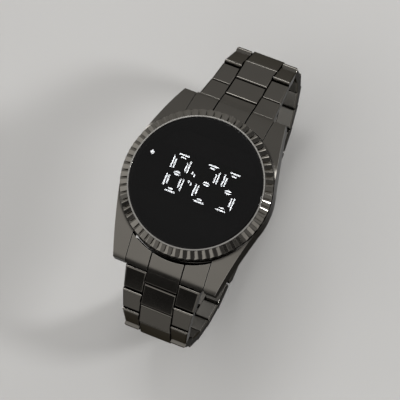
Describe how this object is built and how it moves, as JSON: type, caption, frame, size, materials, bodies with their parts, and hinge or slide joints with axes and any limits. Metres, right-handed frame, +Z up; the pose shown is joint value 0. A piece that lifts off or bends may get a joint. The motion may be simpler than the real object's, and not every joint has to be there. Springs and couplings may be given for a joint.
{
  "type": "led wristwatch",
  "caption": "Round steel digital wristwatch with a fluted bezel, a smoked touch display and a jointed link bracelet closed by a fold-over clasp.",
  "frame": {"origin": "on the outer face of the closed clasp's cover, straight under the middle of the dial", "axes": "+Z up from the clasp to the dial, +Y towards 12 o'clock, +X towards 3 o'clock"},
  "size_m": [0.0404, 0.0823, 0.0584],
  "materials": {
    "steel": "dark plated steel, satin",
    "steel_brushed": "dark plated steel, brushed",
    "steel_bright": "polished steel",
    "crystal": "clear mineral glass",
    "smoked": "smoked film",
    "gasket_pale": "pale nylon",
    "black": "black, matt",
    "led_light": "white light bars",
    "board": "green solder resist",
    "cell": "bright nickel",
    "rubber": "black rubber"
  },
  "bodies": {
    "head": {"case_body": "steel", "bezel": "steel_bright", "crystal": "crystal", "crystal_gasket": "gasket_pale", "display_filter": "smoked", "led_panel": "black", "led_segments": "led_light", "circuit_board": "board", "touch_contact": "black", "module_holder": "black", "coin_cell": "cell", "cell_clip": "cell", "case_back": "steel", "case_back_gasket": "rubber", "case_back_screws": "steel_bright", "end_link_12": "steel", "end_link_6": "steel", "lug_spring_bars": "steel_bright"},
    "row_12_1": {"outer_links_12_1": "steel", "centre_link_12_1": "steel_brushed"},
    "row_12_2": {"outer_links_12_2": "steel", "centre_link_12_2": "steel_brushed"},
    "row_12_3": {"outer_links_12_3": "steel", "centre_link_12_3": "steel_brushed"},
    "row_12_4": {"outer_links_12_4": "steel", "centre_link_12_4": "steel_brushed"},
    "row_12_5": {"outer_links_12_5": "steel", "centre_link_12_5": "steel_brushed"},
    "row_12_6": {"outer_links_12_6": "steel", "centre_link_12_6": "steel_brushed"},
    "row_12_7": {"outer_links_12_7": "steel", "centre_link_12_7": "steel_brushed"},
    "row_12_8": {"outer_links_12_8": "steel", "centre_link_12_8": "steel_brushed", "clasp_spring_bar_12": "steel_bright"},
    "row_6_1": {"outer_links_6_1": "steel", "centre_link_6_1": "steel_brushed"},
    "row_6_2": {"outer_links_6_2": "steel", "centre_link_6_2": "steel_brushed"},
    "row_6_3": {"outer_links_6_3": "steel", "centre_link_6_3": "steel_brushed"},
    "row_6_4": {"outer_links_6_4": "steel", "centre_link_6_4": "steel_brushed"},
    "row_6_5": {"outer_links_6_5": "steel", "centre_link_6_5": "steel_brushed"},
    "row_6_6": {"outer_links_6_6": "steel", "centre_link_6_6": "steel_brushed"},
    "row_6_7": {"outer_links_6_7": "steel", "centre_link_6_7": "steel_brushed"},
    "row_6_8": {"outer_links_6_8": "steel", "centre_link_6_8": "steel_brushed"},
    "clasp_cover": {"clasp_cover": "steel_brushed", "clasp_spring_bar_6": "steel_bright", "clasp_pin_outer": "steel_bright"},
    "clasp_blade_outer": {"clasp_blade_outer": "steel_brushed", "clasp_pin_inner": "steel_bright"},
    "clasp_blade_inner": {"clasp_blade_inner": "steel_brushed"}
  },
  "joints": [
    {"name": "fold_12_1", "type": "hinge", "parent": "head", "child": "row_12_1", "pos_m": [0, 0.02531, 0.04647], "axis": [1, 0, 0], "range_deg": [0, 6]},
    {"name": "fold_12_2", "type": "hinge", "parent": "row_12_1", "child": "row_12_2", "pos_m": [0, 0.0313, 0.04212], "axis": [1, 0, 0], "range_deg": [0, 4]},
    {"name": "fold_12_3", "type": "hinge", "parent": "row_12_2", "child": "row_12_3", "pos_m": [0, 0.03771, 0.03842], "axis": [1, 0, 0], "range_deg": [0, 30]},
    {"name": "fold_12_4", "type": "hinge", "parent": "row_12_3", "child": "row_12_4", "pos_m": [0, 0.04246, 0.03275], "axis": [1, 0, 0], "range_deg": [0, 46]},
    {"name": "fold_12_5", "type": "hinge", "parent": "row_12_4", "child": "row_12_5", "pos_m": [0, 0.04298, 0.02537], "axis": [1, 0, 0], "range_deg": [0, 27]},
    {"name": "fold_12_6", "type": "hinge", "parent": "row_12_5", "child": "row_12_6", "pos_m": [0, 0.04132, 0.01816], "axis": [1, 0, 0], "range_deg": [0, 28]},
    {"name": "fold_12_7", "type": "hinge", "parent": "row_12_6", "child": "row_12_7", "pos_m": [0, 0.0375, 0.01181], "axis": [1, 0, 0], "range_deg": [0, 25]},
    {"name": "fold_12_8", "type": "hinge", "parent": "row_12_7", "child": "row_12_8", "pos_m": [0, 0.03218, 0.00667], "axis": [1, 0, 0], "range_deg": [0, 26]},
    {"name": "fold_6_1", "type": "hinge", "parent": "head", "child": "row_6_1", "pos_m": [0, -0.02531, 0.04647], "axis": [-1, 0, 0], "range_deg": [0, 18]},
    {"name": "fold_6_2", "type": "hinge", "parent": "row_6_1", "child": "row_6_2", "pos_m": [0, -0.03026, 0.04097], "axis": [-1, 0, 0], "range_deg": [0, 22]},
    {"name": "fold_6_3", "type": "hinge", "parent": "row_6_2", "child": "row_6_3", "pos_m": [0, -0.03396, 0.03456], "axis": [-1, 0, 0], "range_deg": [0, 25]},
    {"name": "fold_6_4", "type": "hinge", "parent": "row_6_3", "child": "row_6_4", "pos_m": [0, -0.03588, 0.02741], "axis": [-1, 0, 0], "range_deg": [0, 39]},
    {"name": "fold_6_5", "type": "hinge", "parent": "row_6_4", "child": "row_6_5", "pos_m": [0, -0.03409, 0.02023], "axis": [-1, 0, 0], "range_deg": [0, 25]},
    {"name": "fold_6_6", "type": "hinge", "parent": "row_6_5", "child": "row_6_6", "pos_m": [0, -0.0305, 0.01376], "axis": [-1, 0, 0], "range_deg": [0, 24]},
    {"name": "fold_6_7", "type": "hinge", "parent": "row_6_6", "child": "row_6_7", "pos_m": [0, -0.02545, 0.00835], "axis": [-1, 0, 0], "range_deg": [0, 24]},
    {"name": "fold_6_8", "type": "hinge", "parent": "row_6_7", "child": "row_6_8", "pos_m": [0, -0.01925, 0.00432], "axis": [-1, 0, 0], "range_deg": [0, 34.3]},
    {"name": "clasp_cover_swing", "type": "hinge", "parent": "row_6_8", "child": "clasp_cover", "pos_m": [0, -0.01193, 0.0032], "axis": [-1, 0, 0], "range_deg": [0, 45]},
    {"name": "outer_blade_swing", "type": "hinge", "parent": "clasp_cover", "child": "clasp_blade_outer", "pos_m": [0, 0.01965, 0.0023], "axis": [-1, 0, 0], "range_deg": [0, 100]},
    {"name": "inner_blade_swing", "type": "hinge", "parent": "clasp_blade_outer", "child": "clasp_blade_inner", "pos_m": [0, -0.00733, 0.003], "axis": [1, 0, 0], "range_deg": [0, 95]}
  ]
}
